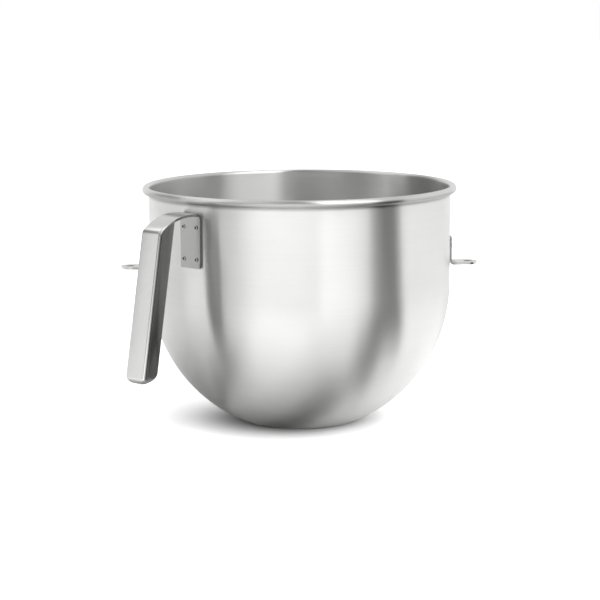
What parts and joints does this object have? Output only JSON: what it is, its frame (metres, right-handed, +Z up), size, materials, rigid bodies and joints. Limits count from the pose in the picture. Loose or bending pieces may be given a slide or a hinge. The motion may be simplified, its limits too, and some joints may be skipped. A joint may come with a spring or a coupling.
{
  "type": "stand mixer bowl",
  "caption": "Deep round-bottomed steel mixing bowl with a rolled rim, folded channel handle, side locating tabs and a rear latch stud.",
  "frame": {"origin": "middle of the flat base, on the surface that the bowl stands on", "axes": "+Z up along the bowl's axis, X through the two side tabs, +Y towards the rear latch stud"},
  "size_m": [0.2952, 0.2738, 0.1963],
  "materials": {
    "shell_steel": "satin polished sheet",
    "handle_steel": "fine brushed sheet",
    "bracket_steel": "fine brushed sheet",
    "stud_steel": "turned"
  },
  "bodies": {
    "root": {"bowl_shell": "shell_steel", "handle": "handle_steel", "left_side_tab": "bracket_steel", "right_side_tab": "bracket_steel", "rear_latch_plate": "bracket_steel", "rear_latch_pin": "stud_steel"}
  },
  "joints": []
}
